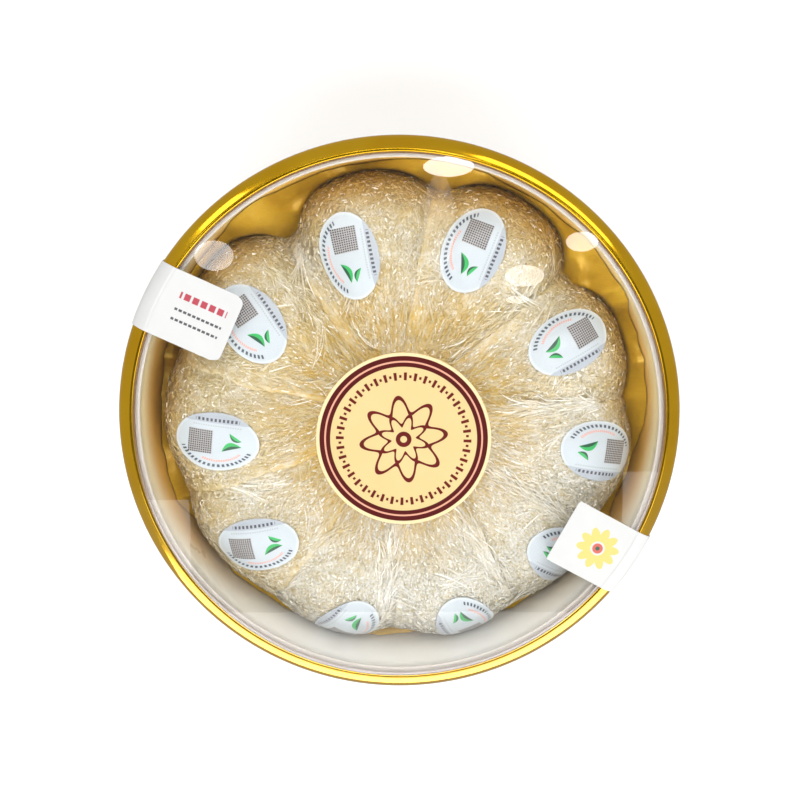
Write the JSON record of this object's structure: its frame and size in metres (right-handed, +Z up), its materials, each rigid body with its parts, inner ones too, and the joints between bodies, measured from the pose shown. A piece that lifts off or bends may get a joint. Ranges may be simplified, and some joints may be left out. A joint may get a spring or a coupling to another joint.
{
  "type": "boxed edible bird's nests",
  "caption": "Half-cup edible bird's nests laid as a rosette on satin, sealed in a round drum-shaped gift box under a clear lid window held by a gold ring.",
  "frame": {"origin": "middle of the flat underside of the base", "axes": "+Z up through the lid window; -Y towards the lower edge of the picture, +X to its right"},
  "size_m": [0.2, 0.2, 0.0525],
  "materials": {
    "base": "gloss",
    "tray": "satin",
    "satin": "satin",
    "gold_ring": "polished",
    "window": "gloss",
    "round_label": "satin",
    "seal": "satin",
    "nest": "satin",
    "nest_label": "satin"
  },
  "bodies": {
    "root": {"base": "base", "tray": "tray", "satin_lining": "satin", "lid_ring": "gold_ring", "lid_window": "window", "round_label": "round_label", "seal_left": "seal", "seal_right": "seal", "nest_01": "nest", "nest_02": "nest", "nest_03": "nest", "nest_04": "nest", "nest_05": "nest", "nest_06": "nest", "nest_07": "nest", "nest_08": "nest", "nest_09": "nest", "nest_10": "nest", "nest_label_01": "nest_label", "nest_label_02": "nest_label", "nest_label_03": "nest_label", "nest_label_04": "nest_label", "nest_label_05": "nest_label", "nest_label_06": "nest_label", "nest_label_07": "nest_label", "nest_label_08": "nest_label", "nest_label_09": "nest_label", "nest_label_10": "nest_label"}
  },
  "joints": []
}
